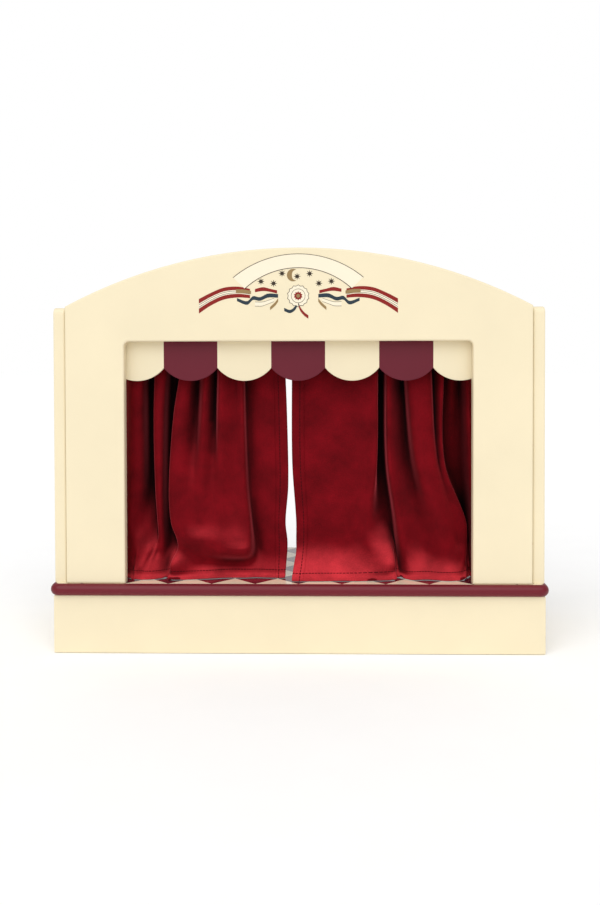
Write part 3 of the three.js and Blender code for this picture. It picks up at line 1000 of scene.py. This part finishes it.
right_fold_heights = (290, 190, 128, 108, 96, 85, 73)
right_folds = (
    ((-7, 0), (-7, 0), (-3, 0), (-3, 1), (-3, 4), (-5, 11), (-7, 22)),  # leading edge
    ((7, 1), (7, 1), (10, 0), (10, 1), (9, 4), (8, 11), (6, 22)),
    ((27, 2), (27, 2), (27, 1), (27, 0), (27, 3), (25, 10), (23, 21)),
    ((52, 3), (52, 3), (50, 1), (50, 0), (49, 2), (47, 8), (44, 20)),
    ((70, 5), (68, 5), (63, 3), (62, 3), (62, 6), (63, 11), (64, 20)),
    ((81, 8), (80, 7), (73, 3), (74, 6), (81, 9), (87, 13), (91, 17)),  # the flat panel's edge
    ((82, -12), (81, -12), (86, -11), (92, -7), (97, -1), (100, 6), (100, 13)),
    ((88, -13), (89, -13), (96, -15), (98, -14), (99, -10), (100, -5), (101, 2)),
    ((92, 6), (93, 7), (102, 6), (105, 5), (108, 6), (111, 9), (114, 15)),
    ((107, -14), (113, -9), (123, -3), (126, -2), (128, 0), (130, 5), (131, 14)),
    ((112, 8), (122, 11), (141, 11), (145, 9), (147, 8), (149, 11), (150, 19)),  # the fan's crest
    ((134, 7), (140, 8), (155, 7), (158, 7), (160, 8), (161, 10), (162, 17)),
    ((138, -8), (144, 1), (163, 3), (165, 3), (167, 5), (167, 7), (168, 14)),
    ((148, 5), (149, 6), (172, 4), (173, 4), (172, 5), (172, 6), (171, 11)),
    ((152, -14), (152, -15), (171, -16), (172, -15), (173, -12), (173, -7), (173, 1)),
    ((159, -6), (162, -18), (175, -18), (177, -18), (177, -15), (176, -10), (176, -3)),
    ((167, -15), (169, -16), (178, -9), (179, -8), (178, -6), (178, -4), (178, -1)),
    ((173, 4), (177, 4), (181, 3), (181, 3), (180, 2), (180, 2), (180, 4)),
    ((180, -6), (182, -6), (184, -4), (184, -3), (184, -2), (184, -1), (184, 1)),  # outer edge
)
(right_cloth, right_hem), right_width = curtain_pieces(
    "right", right_folds, right_fold_heights, settling_frames
)

for side, cloth, hem, width, outwards in (
    ("left", left_cloth, left_hem, left_width, -1),
    ("right", right_cloth, right_hem, right_width, 1),
):
    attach(cloth, "theatre")
    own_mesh(cloth)
    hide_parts(f"{side}_curtain")
    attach(hem, f"{side}_hem")
    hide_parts(f"{side}_curtain_leading_edge")

# ---- Ground, light and camera ----
# A seamless white ground under a broad diffuser that hangs high in front of the theatre, and a camera 0.9 m
# in front of the panel's face, a little right of the middle and level with the curtain rod.

ground = bmesh.new()
bmesh.ops.create_grid(ground, x_segments=1, y_segments=1, size=12)
bmesh.ops.translate(ground, vec=(0, 0, cad_low.z - 0.0005), verts=ground.verts)
# matt white paper: nearly even, with a mottle too faint to draw the eye
matt_white, matt_surface = new_material("matt_white_paper", 0.9)
matt_surface.inputs["Specular IOR Level"].default_value = 0.1
mottle = add_node(
    matt_white,
    "ShaderNodeTexNoise",
    {"Vector": add_node(matt_white, "ShaderNodeTexCoord").outputs["Object"], "Scale": per_metre(60)},
)
paper_colour = add_node(
    matt_white,
    "ShaderNodeMix",
    {0: mottle.outputs["Fac"], 6: linear("#FFFFFF"), 7: linear("#FCFCFC")},
    data_type="RGBA",
)
matt_white.node_tree.links.new(paper_colour.outputs[2], matt_surface.inputs["Base Color"])
mesh_object("ground", ground, [matt_white])

scene = bpy.context.scene
scene.view_settings.view_transform = "Standard"
world = bpy.data.worlds.new("studio")
scene.world = world
world.use_nodes = True
backdrop = world.node_tree.nodes["Background"]
backdrop.inputs["Color"].default_value = (1, 1, 1, 1)
seen = world.node_tree.nodes.new("ShaderNodeLightPath")
brightness = world.node_tree.nodes.new("ShaderNodeMapRange")
# the backdrop looks full white, but lights the theatre with little more than half of that
brightness.inputs["To Min"].default_value = 0.58
brightness.inputs["To Max"].default_value = 1.0
world.node_tree.links.new(seen.outputs["Is Camera Ray"], brightness.inputs["Value"])
world.node_tree.links.new(brightness.outputs["Result"], backdrop.inputs["Strength"])

sky_panel = bpy.data.lights.new("overhead_diffuser", "SUN")
sky_panel.energy = 1.95
sky_panel.angle = math.radians(70)
lamp = bpy.data.objects.new("overhead_diffuser", sky_panel)
lamp.rotation_mode = "QUATERNION"
lamp.rotation_quaternion = Vector((0.1, 0.75, -0.85)).to_track_quat("-Z", "Y")
scene.collection.objects.link(lamp)

camera = bpy.data.cameras.new("camera")
camera.lens = 35.97
camera.sensor_width = 36
camera.shift_x = -0.0011
camera.shift_y = -0.0894
camera.clip_start = 0.05
viewer = bpy.data.objects.new("camera", camera)
camera_right = 0.0218
camera_back = 0.9
camera_above_stage = 0.2307
yaw, dip, roll = math.radians(-1.19), math.radians(1.15), math.radians(-0.14)
forward = Vector((math.sin(yaw) * math.cos(dip), math.cos(yaw) * math.cos(dip), -math.sin(dip)))
right = Vector((math.cos(yaw), -math.sin(yaw), 0))
up = right.cross(forward)
right, up = right * math.cos(roll) + up * math.sin(roll), up * math.cos(roll) - right * math.sin(roll)
aim = Matrix((right, up, -forward)).transposed().to_4x4()
camera_place = (camera_right, face_y - camera_back, stage_z + camera_above_stage)
viewer.matrix_world = Matrix.Translation(camera_place) @ aim
scene.collection.objects.link(viewer)
scene.camera = viewer
